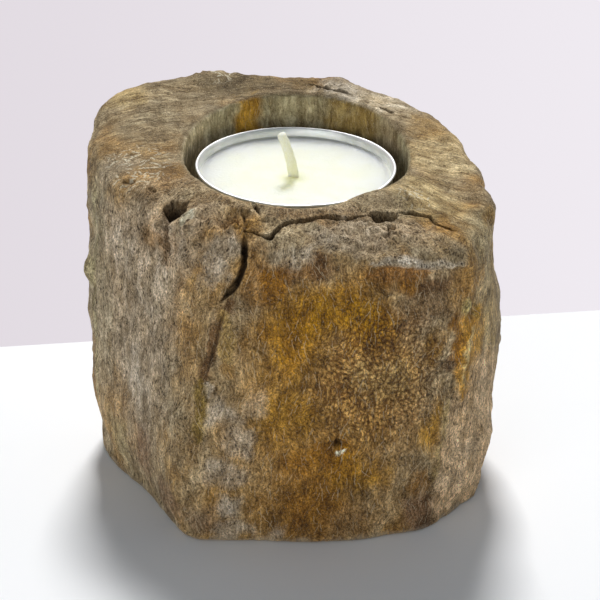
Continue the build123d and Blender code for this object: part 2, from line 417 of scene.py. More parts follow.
# The stone's colours, as reflected light, and where each one lies: centre, radii and strength.
GREY = (0.41, 0.32, 0.22)
TAUPE = (0.35, 0.265, 0.155)
TAN = (0.365, 0.205, 0.058)
BROWN = (0.27, 0.155, 0.058)
UMBER = (0.13, 0.062, 0.02)
RUST = (0.26, 0.11, 0.006)
GOLD = (0.36, 0.175, 0.003)
AMBER = (0.55, 0.28, 0.02)
OCHRE = (0.46, 0.33, 0.14)
CHALK = (0.53, 0.46, 0.37)
SAGE = (0.37, 0.31, 0.17)
OLIVE = (0.25, 0.165, 0.035)
HONEY = (0.42, 0.28, 0.1)
PLUM = (0.23, 0.13, 0.07)
PATCHES = [
    # front-left facet
    ((-29, -17, 40), (15, 15, 36), (0.37, 0.29, 0.2), 0.95),
    ((-37, -4, 36), (7, 8, 30), (0.36, 0.29, 0.19), 0.95),
    ((-27, -20, 56), (9, 9, 8), (0.55, 0.44, 0.32), 0.8),
    ((-34, -11, 55), (7, 8, 8), (0.5, 0.4, 0.29), 0.6),
    ((-30, -16, 28), (5, 5, 7), CHALK, 0.35), ((-33, -12, 52), (4, 5, 6), CHALK, 0.3),
    ((-21, -25, 60), (7, 6, 5), CHALK, 0.35), ((-15.5, -29, 55.5), (3.5, 4, 4), CHALK, 0.6),
    ((-28, -20, 12), (4, 5, 8), PLUM, 0.7), ((-23.5, -28, 6), (5, 5, 6), PLUM, 0.7),
    ((-34, -11, 10), (5, 6, 8), SAGE, 0.6), ((-19, -29, 38), (4, 5, 14), TAN, 0.5),
    ((-20, -30, 17), (4, 5, 10), TAN, 0.6), ((-26.5, -18.5, 58), (3, 4, 5), BROWN, 0.8),
    ((-41.5, -4, 47), (3, 6, 4.5), SAGE, 0.8),
    ((-23.5, -21, 57), (2.5, 3, 4), RUST, 0.4), ((-18, -28, 49), (5, 5, 5), TAUPE, 0.5),
    ((-39, 0, 56), (5, 10, 15), (0.35, 0.285, 0.18), 0.9),
    # front, as a whole, then the band under the top edge, down to the ledge
    ((8, -36, 28), (27, 14, 36), TAN, 0.97),
    ((14, -27, 63), (17, 7, 3.4), GREY, 0.85), ((2, -30, 61), (8, 4, 3), CHALK, 0.5),
    ((22, -28, 60), (7, 6, 3), TAUPE, 0.7), ((-7, -29.5, 60), (3.5, 4, 4.5), BROWN, 0.6),
    # front face
    ((-1, -32, 57.5), (6, 4, 3), UMBER, 0.8), ((5, -32, 58.3), (5, 4, 2.2), UMBER, 0.95),
    ((-4, -31.5, 55), (6.5, 4, 6), RUST, 0.95), ((8, -32.5, 50), (13, 5, 7), GOLD, 0.9),
    ((16.5, -32, 47), (7, 5, 6), GOLD, 0.8), ((0, -32.8, 44), (9, 5, 9), (0.33, 0.155, 0.003), 0.85),
    ((21, -30.5, 56.8), (9, 5, 3.2), RUST, 0.9), ((27, -28, 53.5), (8, 6, 3), UMBER, 0.85),
    ((23, -31, 49.5), (8, 6, 3.5), UMBER, 0.55), ((17.5, -32, 36.5), (12, 6, 10), TAN, 0.9),
    ((17.5, -32, 36), (8, 6, 6), OCHRE, 0.45), ((28, -28, 41), (3, 4, 5), GOLD, 0.7),
    ((28, -27, 23), (3.5, 4, 8), GOLD, 0.8), ((33.5, -22, 12), (5, 6, 10), CHALK, 0.35),
    ((-1, -33, 30), (8, 5, 9), GOLD, 0.6), ((6, -33, 18), (10, 5, 6), RUST, 0.85),
    ((13, -32, 16), (8, 5, 5), GOLD, 0.6), ((4, -33, 8), (11, 5, 8), RUST, 0.8),
    ((12, -32, 5), (7, 5, 5), BROWN, 0.8), ((23, -30, 15), (6, 5, 7), TAUPE, 0.45),
    ((28, -27, 5), (7, 6, 5), PLUM, 0.9), ((26, -28.5, 11), (2.5, 3, 3), RUST, 0.7),
    ((-12, -32.5, 28), (3.5, 4, 4), CHALK, 0.6), ((-9, -33, 22), (3.5, 4, 4), CHALK, 0.5),
    ((-12.5, -32.6, 16), (3.5, 4, 4), CHALK, 0.5), ((-11, -33, 8.5), (3.5, 4, 3), CHALK, 0.7),
    ((-10.6, -33, 3), (4, 4, 3), CHALK, 0.5), ((-6.5, -32.4, 31), (3, 4, 3), CHALK, 0.3),
    ((-2, -33, 2.5), (2.5, 4, 3), CHALK, 0.5), ((-16, -32, 4), (5, 5, 5), PLUM, 0.6),
    ((-13, -27.5, 59.5), (4, 5, 4), (0.4, 0.33, 0.25), 0.8),
    # right side
    ((34, -17, 60.5), (6, 6, 5), (0.42, 0.34, 0.2), 0.85),
    ((36.5, -17, 52), (5, 8, 11), (0.43, 0.34, 0.19), 0.85),
    ((37, -12, 40), (5, 9, 18), OCHRE, 0.7), ((35, -19, 36), (3, 5, 12), AMBER, 0.6),
    ((40, 2, 25), (5, 10, 16), TAUPE, 0.6), ((39, -4, 58), (3, 5, 4), SAGE, 0.6),
    # top
    ((-35, 21, 70), (6, 6, 4), OCHRE, 0.7), ((29, 3, 67), (8, 10, 5), OCHRE, 0.85),
    ((28, 12, 69), (7, 6, 4), AMBER, 0.35), ((-28, 8, 68), (11, 12, 5), (0.3, 0.235, 0.14), 0.8),
    ((27, -15, 65), (9, 7, 5), SAGE, 0.5), ((37, -14, 62), (3, 4, 4), GOLD, 0.5),
    ((-10, 27, 71), (18, 7, 4), (0.17, 0.125, 0.065), 0.9), ((4, -22.5, 65), (12, 2.5, 3), BROWN, 0.7),
    ((18, 22, 70), (9, 6, 4), (0.7, 0.59, 0.43), 0.85), ((10, 25.5, 71), (7, 5, 4), CHALK, 0.7),
    ((24, -12, 66), (8, 6, 4), (0.59, 0.45, 0.23), 0.8),
    ((30, 4, 67), (9, 12, 5), (0.55, 0.43, 0.25), 0.7),
    ((-9, 23, 70), (5, 2.2, 2), (0.42, 0.25, 0.06), 0.75),
    ((-22, 22, 70), (10, 6, 5), (0.22, 0.165, 0.09), 0.5), ((-15, -22, 64), (7, 4, 3), GREY, 0.7),
    ((-33, -4, 66), (6, 5, 4), GREY, 0.6), ((-22, -10, 66), (8, 6, 4), BROWN, 0.45),
    ((-17, -18, 64), (8, 4, 3), BROWN, 0.4),
    # back and far sides
    ((-22, 31, 40), (12, 6, 20), GREY, 0.8), ((12, 31, 50), (14, 6, 12), TAN, 0.8),
    ((2, 32, 20), (14, 6, 12), RUST, 0.7), ((30, 20, 35), (8, 8, 18), AMBER, 0.4),
    ((-38, 14, 20), (6, 10, 14), TAUPE, 0.8), ((-14, 32, 62), (10, 5, 6), OCHRE, 0.4),
]

# Mineral veins, and a painted highlight down one of them: facing, points, radius and colour.
VEINS_AND_PAINTED_HIGHLIGHT = [
    (FRONT, [(-11, -31, 51), (-13.4, -31.5, 46), (-14.8, -31.5, 41), (-16.2, -32, 35)], 1.4, UMBER),
    (FRONT, [(-12.4, -31, 49), (-11.4, -32, 45), (-11.6, -32, 39)], 1.3, HONEY),
    (FRONT, [(-16.6, -32, 35), (-17, -32, 27), (-17.4, -32, 22)], 1.4, OLIVE),
    (FRONT, [(35, -21.5, 46), (33.6, -23.3, 38), (33, -23.8, 28)], 1.5, AMBER),
    (FRONT, [(30.4, -26.2, 47), (31.4, -25.4, 42), (31.2, -25.6, 36)], 1.1, RUST),
    (FRONT, [(30.2, -26.4, 29), (29.2, -26.6, 20), (28, -26.6, 11)], 0.8, OCHRE),
    # a painted highlight: a pale line down the raised amber vein on the right
    (FRONT, [(34.4, -22.4, 43), (33.3, -23.5, 38.5), (32.4, -24.5, 34.5), (33.4, -23.5, 30)],
     0.45, (0.75, 0.58, 0.27)),
    (FRONT, [(14.5, -32, 60), (19.6, -31.7, 59.9), (24.2, -30.5, 59.1), (28, -29, 58.3), (31, -27, 57.4)],
     0.9, CHALK),
    (SIDE, [(-41, -2.5, 62), (-41, -2.5, 45), (-40.5, -2.5, 28), (-39.5, -2.5, 14)], 1.1, SAGE),
    (FRONT, [(20, 31, 66), (16, 31.5, 48), (19, 30.5, 30), (14, 31.5, 8)], 1.6, AMBER),
]

# Inclusions with crisp edges, and one band of painted shadow: centre, radii, colour and strength.
FLAKES_AND_PAINTED_SHADOW = [
    ((-12.6, -31.5, 46.6), (1.5, 3, 2.6), HONEY, 0.75), ((-12.2, -32, 41.8), (1.3, 3, 2.4), HONEY, 0.8),
    ((-11.4, -32, 37.2), (1.5, 3, 1.5), TAN, 0.7), ((-15.2, -32, 32.8), (0.8, 3, 2.2), CHALK, 0.7),
    ((37, -19, 12), (10.5, 18, 24), (0.58, 0.41, 0.24), 0.85),
    ((32.8, -24.6, 47.8), (1.2, 2, 1.6), (0.62, 0.52, 0.22), 0.85),
    ((34.8, -22.2, 45), (1.1, 2, 1.3), (0.62, 0.52, 0.22), 0.8),
    ((32.4, -24.8, 41.5), (1.7, 3, 4.6), (0.52, 0.27, 0.04), 0.9),
    ((33.4, -23.4, 34), (0.9, 2.5, 5), HONEY, 0.75), ((30.2, -26.4, 36.5), (1.2, 2.5, 2), UMBER, 0.7),
    ((32.2, -25, 36), (1.6, 3, 4.5), (0.46, 0.235, 0.03), 0.85),
    # under the ledge's lip: brown stone, darkened further as the overhang's painted shadow
    ((20, -31, 57.2), (7.5, 4, 1.7), (0.27, 0.13, 0.035), 0.85),
    ((9.8, -33, 20.9), (1.2, 3, 0.5), (0.7, 0.66, 0.52), 0.9),
    ((-19.6, -21.4, 62.6), (1.7, 2.4, 2.2), (0.47, 0.45, 0.34), 0.75),
    ((-40.6, 0, 42), (3, 3.6, 3.2), SAGE, 0.85),
]

# Where needles of crystal catch the light, painted as bright glint slivers: centre and radius.
GLINTS = [((-30, -5.5, 66.5), 8.5), ((22.7, -14.5, 65.5), 4.5), ((-16, 30, 72), 4)]

# The drilled wall's colour, and its streaks, one of them painted light: degrees clockwise from the back,
# half-width and colour.
WALL = (0.39, 0.33, 0.2)
WALL_STREAKS_AND_PAINTED_LIGHT = [
    (-28, 10.5, (0.5, 0.27, 0.035)), (34, 24, (0.33, 0.22, 0.07)), (60, 14, TAUPE),
    # painted light: a pale band down the wall's left side, where the light from the right falls
    (-80, 40, (0.66, 0.55, 0.36)),
]


def remeshed_stone():
    """A copy of the CAD stone with even faces, refined round its cracks."""
    obj = NODES["stone_block"].copy()
    obj.data = obj.data.copy()
    link(obj)
    modifier = obj.modifiers.new("even", "REMESH")
    modifier.mode = "VOXEL"
    modifier.voxel_size = VOXEL * MM
    mesh = applied(obj)
    mesh.materials.clear()
    mesh = softened(mesh)
    cracks = settled(mesh)
    for reach in REFINED:
        refine(mesh, cracks, reach)
    return mesh, cracks


def softened(mesh):
    """The mesh with the block's outer top edge worn round, most of all towards the front left."""
    p = read(mesh, "co") / MM
    weight = step(from_axis(p), WELL_RADIUS + 1.5, WELL_RADIUS + 6) * step(p[:, 2], 38, 56)
    weight *= 0.25 + 0.75 * step(-p[:, 1] - 0.3 * p[:, 0], -5, 15)
    obj = bpy.data.objects.new("softened", mesh)
    link(obj)
    group = obj.vertex_groups.new(name="worn")
    for i in np.nonzero(weight > 0.01)[0]:
        group.add([int(i)], float(weight[i]), "REPLACE")
    modifier = obj.modifiers.new("worn", "SMOOTH")
    modifier.vertex_group, modifier.factor, modifier.iterations = "worn", 0.5, SOFTENING
    return applied(obj)


def settled(mesh):
    """The cracks, with each point moved onto the stone's surface along the way it faces."""
    p = read(mesh, "co") / MM
    p = p[in_well(p) < 0.5]
    cracks = []
    for facing, line, *rest in CRACKS:
        axis = int(np.argmin(facing))
        across = [k for k in range(3) if k != axis]
        points = []
        for point in np.array(line, float):
            outward = math.copysign(1.0, point[axis])
            away = np.hypot(*(p[:, across] - point[across]).T)
            near, gap = p[away < SEARCH], away[away < SEARCH]
            if len(near):
                outer = near[:, axis] * outward > np.max(near[:, axis] * outward) - OUTER_SKIN
                point[axis] = near[outer][np.argmin(gap[outer]), axis]
            points.append(tuple(point))
        cracks.append((facing, points, *rest))
    return cracks


def refine(mesh, cracks, reach):
    """Splits the faces within a reach of any crack."""
    bm = bmesh.new()
    bm.from_mesh(mesh)
    bm.faces.ensure_lookup_table()
    points = np.array([f.calc_center_median()[:] for f in bm.faces]) / MM
    near = np.zeros(len(points), bool)
    for facing, line, width, *_ in cracks:
        near |= line_distance(points, line, facing)[0] < reach + width
    edges = {e for i in np.nonzero(near)[0] for e in bm.faces[int(i)].edges}
    bmesh.ops.subdivide_edges(bm, edges=sorted(edges, key=lambda e: e.index), cuts=1,
                              use_grid_fill=True)
    bm.to_mesh(mesh)
    bm.free()


def in_well(p, grow=0.9):
    """1 on the well's wall and floor, 0 elsewhere, falling off just outside its mouth."""
    return 1 - step(from_axis(p), WELL_RADIUS + 0.1, WELL_RADIUS + grow)


def mouth_lift(p):
    """How far the stone stands up round the front of the well's mouth, most at the front right."""
    turn = np.degrees(np.arctan2(p[:, 0] - AXIS_X, AXIS_Y - p[:, 1]))
    ahead = 1 - step(np.abs(turn), 45, 80)
    height = 0.9 + 0.9 * np.exp(-(((turn - 36.0) / 16.0) ** 2))
    return ahead * height * step(p[:, 2], 58, 63.5) * (1 - step(from_axis(p), 23, 31))


def roughness(p, side):
    """How far the surface stands out in waves, upright ribs and crags."""
    push = side * fbm(p, 2.6, 3, seed=6, squash=(1, 1, 0.14)) * 0.12
    for size, octaves, seed, height in WAVES:
        push += fbm(p, size, octaves, seed) * height
    blocks = 0.3 - np.abs(fbm(p, 4.0, 3, seed=15))
    for centre, radii, height in CRAGS:
        push += (1 - step(blob_distance(p, centre, radii), 0.5, 1.1)) * height * 2 * blocks
    return push


def relief(p, warp):
    """How far the lumps and raised veins stand out, and how far the hollows and the foot stand back."""
    push = np.zeros(len(p))
    for centre, radius, height in LUMPS:
        wander = fbm_vector(p, radius, 2, seed=radius) * 0.2
        push += height * np.exp(-(blob_distance(p + wander * radius, centre, radius) ** 2) * 1.6)
    for facing, line, width, height in RIDGES:
        d = line_distance(p + warp, line, facing)[0]
        push += height * np.exp(-((d / width) ** 2)) * (0.7 + 0.6 * fbm(p, 3.0, 2, seed=width))
    line, width, depth = FOOT
    return push - depth * np.exp(-((line_distance(p, line)[0] / width) ** 2))


def ledge(p):
    """The overhang below the front edge at the right: its lip stands out and its underside is cut back."""
    x, y, z = p.T
    reach = step(x, 10, 15) * (1 - step(x, 31, 34)) * step(-y, 20, 25)
    under = 59.5 - 0.17 * np.maximum(x - 15.6, 0.0) + 0.35 * fbm(p, 3.0, 3, seed=8) - z
    lip = 0.6 * (1 - step(np.abs(under + 0.7), 0.2, 1.6))
    return reach * (lip - 1.7 * step(under, -0.25, 0.35) * (1 - step(under, 2, 8)))


def crack_depth(p, warp, cracks):
    """How deep the cracks and pits are cut, and how much shade is painted inside them."""
    cut, dark = np.zeros(len(p)), np.zeros(len(p))
    for facing, line, width, depth, painted_shade in cracks:
        d, along = line_distance(p + warp * 1.5, line, facing)
        taper = np.minimum(1.0, 3.2 * np.minimum(along + 0.08, 1.08 - along))
        ragged = 1.0 + 0.35 * fbm(p, 4.0, 2, seed=width * 10) + 0.2 * fbm(p, 1.1, 2, seed=width * 7)
        w = width * taper * np.maximum(ragged, 0.65)
        cut += depth * taper * np.clip(1.0 - (d / w) ** 2, 0.0, 1.0)
        # painted shade, darkest along each crack's and pit's middle
        dark = np.maximum(dark, painted_shade * np.clip(1.4 - d / w, 0.0, 1.0) * np.sqrt(taper))
    return cut, dark


def worn_shape(p, n, cracks):
    """The block's points worn, warped, cracked and pitted, and the shade painted on each from the cracks and
    pits.
    """
    well, base = in_well(p), 1 - step(p[:, 2], 0.05, 2)
    out = p * (1.0, 1.0, 0.0)
    reach = np.linalg.norm(out, axis=1, keepdims=True)
    out = out / np.maximum(reach, 1) * step(reach, 15, 26)
    n = n * (1.0 - column(base)) + out * column(base)
    side = 1 - step(np.abs(n[:, 2]), 0.45, 0.8)
    warp = fbm_vector(p, 5.0, 3, seed=2) * 0.25 + fbm_vector(p, 1.8, 2, seed=9) * 0.16
    cut, dark = crack_depth(p, warp, cracks)
    push = roughness(p, side) + relief(p, warp) + ledge(p) - cut
    lift = mouth_lift(p)
    p = p + (n * column(push) + warp * (1.0 - column(base))) * (1.0 - column(well))
    p[:, 2] += lift
    p += n * column(fbm(p, 1.2, 2, seed=12) * 0.05 * well)
    p[:, 2] = np.maximum(p[:, 2], 0.0)
    return p, dark


def stone_tint(p):
    """The stone's colour at each point, with a painted highlight on a vein and painted shadow under the
    ledge, before its grain and cells, and its white bloom.
    """
    tint = mixed(step(fbm(p, 14, 3, seed=21, squash=(1, 1, 0.5)), -0.2, 0.4), TAUPE, TAN)
    streak = fbm_vector(p * np.array((1, 1, 0.35)), 2.2, 3, seed=33) * 1.5
    q = p + streak + fbm_vector(p, 7.0, 3, seed=27) * 2.5
    bloom = np.zeros(len(p))
    for centre, radii, colour, strength in PATCHES:
        share = strength * (1 - step(blob_distance(q, centre, radii), 0.4, 1.15))
        if colour is CHALK:
            bloom = np.maximum(bloom, share)
        tint = mixed(share, tint, colour)
    q = p + fbm_vector(p, 2.5, 3, seed=41) * 0.8
    for centre, radii, colour, strength in FLAKES_AND_PAINTED_SHADOW:
        tint = mixed(strength * (1 - step(blob_distance(q, centre, radii), 0.88, 1.06)), tint, colour)
    for facing, line, radius, colour in VEINS_AND_PAINTED_HIGHLIGHT:
        d, along = line_distance(q, line, facing)
        taper = np.minimum(1.0, 5.0 * np.minimum(along + 0.1, 1.1 - along))
        tint = mixed(0.9 * (1 - step(d / (radius * taper), 0.3, 1.3)), tint, colour)
    mottle = 1.0 + 0.35 * fbm(p, 4.0, 4, seed=51, squash=(1, 1, 0.7))
    return tint * column(mottle), bloom


def well_tint(p, tint):
    """The tint, changed on the drilled wall: grey, streaked with amber and brown at the back, and painted
    paler on the left, where light from the right falls.
    """
    turn = np.degrees(np.arctan2(p[:, 0] - AXIS_X, p[:, 1] - AXIS_Y))
    streaks = np.stack([turn, turn * 0, p[:, 2] * 0.1], 1)
    wall = np.array(WALL) * column(1.0 + 0.3 * fbm(streaks, 1.5, 3, seed=61))
    for middle, width, colour in WALL_STREAKS_AND_PAINTED_LIGHT:
        share = 1 - step(np.abs(turn - middle + 6 * fbm(p, 4, 3, seed=width)), width * 0.3, width)
        share = np.clip(share * (1.1 + 0.6 * fbm(p, 2.5, 2, seed=width + 1)), 0.0, 1.0)
        wall = mixed(share, wall, colour)
    return mixed(in_well(p, 0.5), tint, wall)


def cell_zone(p):
    """Where mineral cells show: most at the middle of the front, a little on the rest of it."""
    x, y, z = p.T
    zone = 0.3 + 0.7 * (1 - step(np.hypot((x - 17) / 16, (z - 36) / 18), 0.5, 1.1))
    return zone * step(-y, 18, 27) * step(x, -14, -4) * (1 - step(z, 57, 60))


def top_zone(p, n):
    """Where the grain runs across the top, and not up the sides or in the front edge's rough band."""
    zone = step(n[:, 2] + 0.15 * fbm(p, 5, 2, seed=71), 0.6, 0.8) * (1 - in_well(p))
    return zone * step(p[:, 1] + 0.25 * p[:, 0] + 4 * fbm(p, 6, 2, seed=73), -17, -9)


def stone():
    """The stone's mesh, with the colours and masks that its material reads."""
    mesh, cracks = remeshed_stone()
    before, n = read(mesh, "co") / MM, read(mesh, "normal")
    p, dark = worn_shape(before, n, cracks)
    write_points(mesh, p)
    full = np.ones(len(p))
    tint, bloom = stone_tint(before)
    add_colours(mesh, "tint", np.column_stack([well_tint(before, tint), full]))
    # masks: painted shade in the cracks and pits, the cell zone, the top zone and the white bloom
    add_colours(mesh, "masks", np.column_stack([dark, cell_zone(before), top_zone(before, n), bloom]))
    glint = np.max([1 - step(blob_distance(before, *spot), 0.4, 1.1) for spot in GLINTS], axis=0)
    foot = 1 - step(before[:, 2] + 0.8 * fbm(before, 2, 2, seed=75), 0.5, 1.4)
    add_colours(mesh, "zones", np.column_stack([glint, in_well(before), foot, full]))
    place(mesh, "stone", "block", "stone_block")
    mesh.materials.append(stone_material())


def stone_fields(s):
    """The masks and patterns that the stone's colour and relief are mixed from."""
    f = SimpleNamespace(tint=s.attribute("tint"), mm=s.millimetres())
    masks = s.attribute("masks")
    # dark is the shade painted inside the cracks and pits
    f.dark, f.cells, f.top = s.channels(masks)
    f.bloom = masks.node.outputs["Alpha"]
    f.glint, f.well, f.foot = s.channels(s.attribute("zones"))
    f.richness = s.channels(f.tint, "HSV")[1]
    f.wander = s.drift(f.mm, 1.2)
    at = s.moved(f.mm, s.drift(f.mm, 0.12), 4.0, 4.0, 4.0)
    at = s.moved(at, f.wander, 0.4, 0.4, 0.4)

    # fibres run up the sides, and in wide arcs across the top
    offset = s.vector("SUBTRACT", at, (4.0, -95.0, 0.0))
    ring = s.length(s.squashed(offset, 1, 1, 0))
    beside = s.axes(offset)[0]
    f.arcs = s.joined(ring, beside)
    along = s.node("Mix", 1, {"data_type": "VECTOR"}, i0=f.top,
                   i4=s.squashed(at, 1, 1, 0.14), i5=s.joined(ring, s.times(beside, 0.09)))
    f.fibre = s.noise(along, 1.7, 4.0, 0.7)
    f.bands = s.noise(along, 0.55, 3.0, 0.6)
    f.grain = s.noise(s.squashed(at, 1, 1, 0.6), 3.0, 3.0, 0.75)
    f.lump = s.noise(s.squashed(at, 1, 1, 0.7), 0.45, 3.0, 0.6)
    f.grit = s.noise(f.mm, 5.5, 2.0, 0.7)
    f.blotch = s.noise(f.mm, 0.25, 4.0, 0.6)

    # the mineral cells, the gaps between them, and the pores
    pebble = s.cell_pattern(s.squashed(at, 1, 1, 0.85), 1.6)
    f.cell_shade = s.channels(pebble.node.outputs[1])[0]
    f.gap = s.times(s.ramp(pebble, 0.4, 0.68), f.cells)
    f.rough_skin = s.times(s.ramp(f.well, 0, 1, 1, 0.25), s.ramp(f.top, 0, 1, 1, 0.6))
    pore = s.cell_pattern(s.squashed(at, 1, 1, 0.55), 1.55)
    f.pore = s.times(s.ramp(pore, 0.16, 0.42, 1, 0), s.ramp(f.grain, 0.75, 0.4), f.rough_skin,
                     s.ramp(f.lump, 0.62, 0.42, 0.25, 1), s.ramp(f.richness, 0.5, 0.8, 1, 0.45))
    return f


def add_needles(s, f):
    """Pale needles on the sides, dark dashes along the top's grain, and bright slivers of crystal painted as
    glints.
    """
    east, north, high = s.axes(f.mm)
    round_it = s.times(s.math("ARCTAN2", east, s.times(north, -1.0)), MEAN_RADIUS)
    skin = s.moved(s.joined(round_it, high), f.wander, 0.5, 0.5, 0.0)
    plan = s.moved(s.joined(north, east), f.wander, 0.6, 0.6, 0.0)
    needle = s.two_needles(skin, (31.7, 17.3), (0.62, 1.5, 0.11, 1.1, 0.6), (0.3, 3.6, 0.12, 1.5, 0.5))
    f.needle = s.times(needle, s.ramp(f.blotch, 0.42, 0.58, 0.15, 1), s.ramp(f.top, 0.2, 0.6, 1, 0))
    dash = s.two_needles(f.arcs, (7.7, 3.3), (0.7, 1.2, 0.12, 0.6, 0.6), (0.45, 2.2, 0.13, 0.5, 0.5))
    f.dash = s.times(dash, f.top, s.ramp(f.blotch, 0.4, 0.6, 0.3, 0.9))
    # painted glints: bright slivers where crystal catches the light
    sliver = s.two_needles(plan, (11.3, 5.9), (0.9, 0.9, 0.25, 2.8, 0.4), (0.5, 1.3, 0.26, 1.6, 0.4))
    f.sliver = s.times(sliver, f.glint, s.ramp(f.grain, 0.38, 0.5))


def stone_colour(s, f):
    """The tint under its shades, gaps and pores, then bloom, pale specks with painted glints, needles with
    painted glint slivers, and painted shade in the cracks over it.
    """
    dust = s.times(s.ramp(f.grit, 0.5, 0.68), s.math("MULTIPLY_ADD", f.bloom, 0.75, 0.04))
    # pale specks, painted bright as glints
    specks_and_painted_glints = s.times(s.ramp(s.noise(f.mm, 3.6, 2, 0.8), 0.59, 0.68),
                      s.ramp(f.richness, 0.6, 0.9, 0.6, 0.3))
    layers = [
        ("MULTIPLY", 1.0, s.shade(f.fibre, 0.3, 0.7, 0.66, 1.38)),
        ("MULTIPLY", 1.0, s.shade(f.bands, 0.35, 0.65, 0.8, 1.2)),
        ("MULTIPLY", 1.0, s.shade(f.lump, 0.36, 0.64, 0.74, 1.22)),
        ("MULTIPLY", f.rough_skin, s.shade(f.grain, 0.34, 0.66, 0.5, 1.74)),
        ("MULTIPLY", f.cells, s.shade(f.cell_shade, 0.0, 1.0, 0.9, 1.46)),
        ("MULTIPLY", s.times(f.gap, 0.8), (0.3, 0.22, 0.15, 1)),
        ("MULTIPLY", s.times(f.pore, 0.85), (0.12, 0.09, 0.07, 1)),
        ("MIX", dust, (0.66, 0.6, 0.52, 1)),
        ("MIX", specks_and_painted_glints, (0.74, 0.6, 0.38, 1)),
        ("MIX", s.times(f.foot, 0.5), (0.56, 0.48, 0.36, 1)),
        ("MULTIPLY", s.times(f.dash, 0.75), (0.32, 0.26, 0.2, 1)),
        ("MIX", s.times(f.needle, 0.5), (0.72, 0.56, 0.34, 1)),
        # painted glint slivers
        ("MIX", s.times(f.sliver, 0.8), (0.95, 0.86, 0.64, 1)),
        # painted shade inside the cracks and pits
        ("MIX", s.times(f.dark, 0.9), (0.035, 0.021, 0.013, 1)),
    ]
    colour = f.tint
    for blend, share, over in layers:
        colour = s.mix(share, colour, over, blend)
    return colour


def stone_material():
    """Petrified wood: fibres along the grain, rounded mineral cells, pores, bloom and needles."""
    s = Shader("petrified_wood_surface")
    f = stone_fields(s)
    add_needles(s, f)
    height = s.math("MULTIPLY_ADD", f.fibre, 0.7, s.times(f.grain, 0.8))
    for pattern, weight in ((f.gap, -0.7), (f.pore, -0.7), (f.grit, 0.25)):
        height = s.math("MULTIPLY_ADD", pattern, weight, height)
    rough = s.math("MULTIPLY_ADD", f.richness, -0.22, s.ramp(f.grain, 0.3, 0.7, 0.78, 0.95))
    rough = s.math("MULTIPLY_ADD", f.needle, -0.2, rough)
    return s.finish(Base_Color=stone_colour(s, f), Roughness=rough, Specular_IOR_Level=0.2,
                    Normal=s.bump(height, 0.8, 0.0006))


# ---- the tealight
def lathe(profile, segments, wobble):
    """Rings of points round the tealight's axis, moved out and up by a wobble, and their faces."""
    verts, faces = [], []
    for k, (r, z) in enumerate(profile):
        for i in range(segments):
            a = 2 * math.pi * i / segments
            dr, dz = wobble(a, r, z, k)
            verts.append((AXIS_X + (r + dr) * math.cos(a), AXIS_Y + (r + dr) * math.sin(a), z + dz))
    for k in range(len(profile) - 1):
        for i in range(segments):
            j = (i + 1) % segments
            a, b = k * segments, (k + 1) * segments
            faces.append((a + i, a + j, b + j, b + i))
    return verts, faces


def arc(cx, cz, r, start, end, count):
    """Points of a circular arc in a profile, angles in degrees."""
    return [(cx + r * math.cos(math.radians(t)), cz + r * math.sin(math.radians(t)))
            for t in np.linspace(start, end, count)]


CUP_SEGMENTS, WAX_SEGMENTS, WICK_SIDES = 192, 160, 30
CUP_THICKNESS, PANEL_RISE, RING_RISE = 0.3, 0.6, 0.12  # the base's raised panel and the rings on it
RING_RADII, RING_HALF = (5.4, 11.4), 0.4
FLUTES, FLUTE_DEPTH = 48, 0.07
WAX_RADIUS = 18.46
BEND_DEPTH = 0.65  # how far below the wax's top the wick starts to bend
WICK_BEND, WICK_CURL = (0.98, 7, 6), (9.36, 18.5, 40)  # length, turn in degrees, steps


def cup():
    """The drawn aluminium cup: raised and ringed base panel, fluted wall, rolled rim."""
    f, h, centre = FLOOR_Z, RIM_Z, 0.02
    panel, inner_panel = f + PANEL_RISE, f + PANEL_RISE + CUP_THICKNESS
    outside = [(centre, panel)]
    for ring in RING_RADII:
        outside += [(ring - RING_HALF, panel), (ring, panel + RING_RISE), (ring + RING_HALF, panel)]
    outside += [(14.9, panel), (15.3, f + PANEL_RISE / 2), (15.7, f), (16.6, f)]
    outside += arc(17.2, f + 1.0, 1.0, -90, 0, 8)
    outside += [(18.2 + 0.75 * t, f + 1.0 + 13.6 * t) for t in np.linspace(0.08, 1.0, 14)]
    outside += arc(19.2, h - 0.29, 0.29, -150, 150, 14)
    inside = [(18.72 - 0.8 * t, h - 0.4 - 13.85 * t) for t in np.linspace(0.0, 0.97, 14)]
    inside += arc(17.2, f + 1.0, 1.0 - CUP_THICKNESS, -5, -90, 6)
    inside += [(15.9, f + CUP_THICKNESS), (15.5, panel), (15.1, inner_panel), (11.8, inner_panel),
               (centre, inner_panel)]

    def wobble(a, r, z, _ring):
        """Flutes and slight dents in the wall, and a rim that isn't quite level."""
        if r < 16.5:
            return 0.0, 0.0
        high = (z - f) / (h - f)
        spot = Vector((math.cos(a) * 2.2, math.sin(a) * 2.2, z * 0.12))
        dent = noise.fractal(spot, 1.0, 2.0, 2) * 0.06 * high
        flute = FLUTE_DEPTH * math.cos(a * FLUTES) * step(high, 0.1, 0.3) * (1 - step(high, 0.8, 0.95))
        return dent + float(flute), noise.noise(spot * 1.3) * 0.08 * high**3

    verts, faces = lathe(outside + inside, CUP_SEGMENTS, wobble)
    obj = mesh_object("tealight_cup_metal", verts, faces, "cup", "tealight_cup")
    s = Shader("drawn_aluminium")
    mm = s.millimetres()
    drawn = s.noise(s.squashed(mm, 0.6, 0.6, 4.0), 1.2, 4.0)
    smear = s.noise(mm, 0.35, 3.0)
    colour = s.mix(s.ramp(smear, 0.35, 0.65), (0.86, 0.88, 0.86, 1), (0.95, 0.95, 0.95, 1))
    obj.data.materials.append(s.finish(Base_Color=colour, Metallic=0.85, Normal=s.bump(drawn, 0.25, 0.0002),
                                       Roughness=s.ramp(drawn, 0.3, 0.7, 0.4, 0.52)))


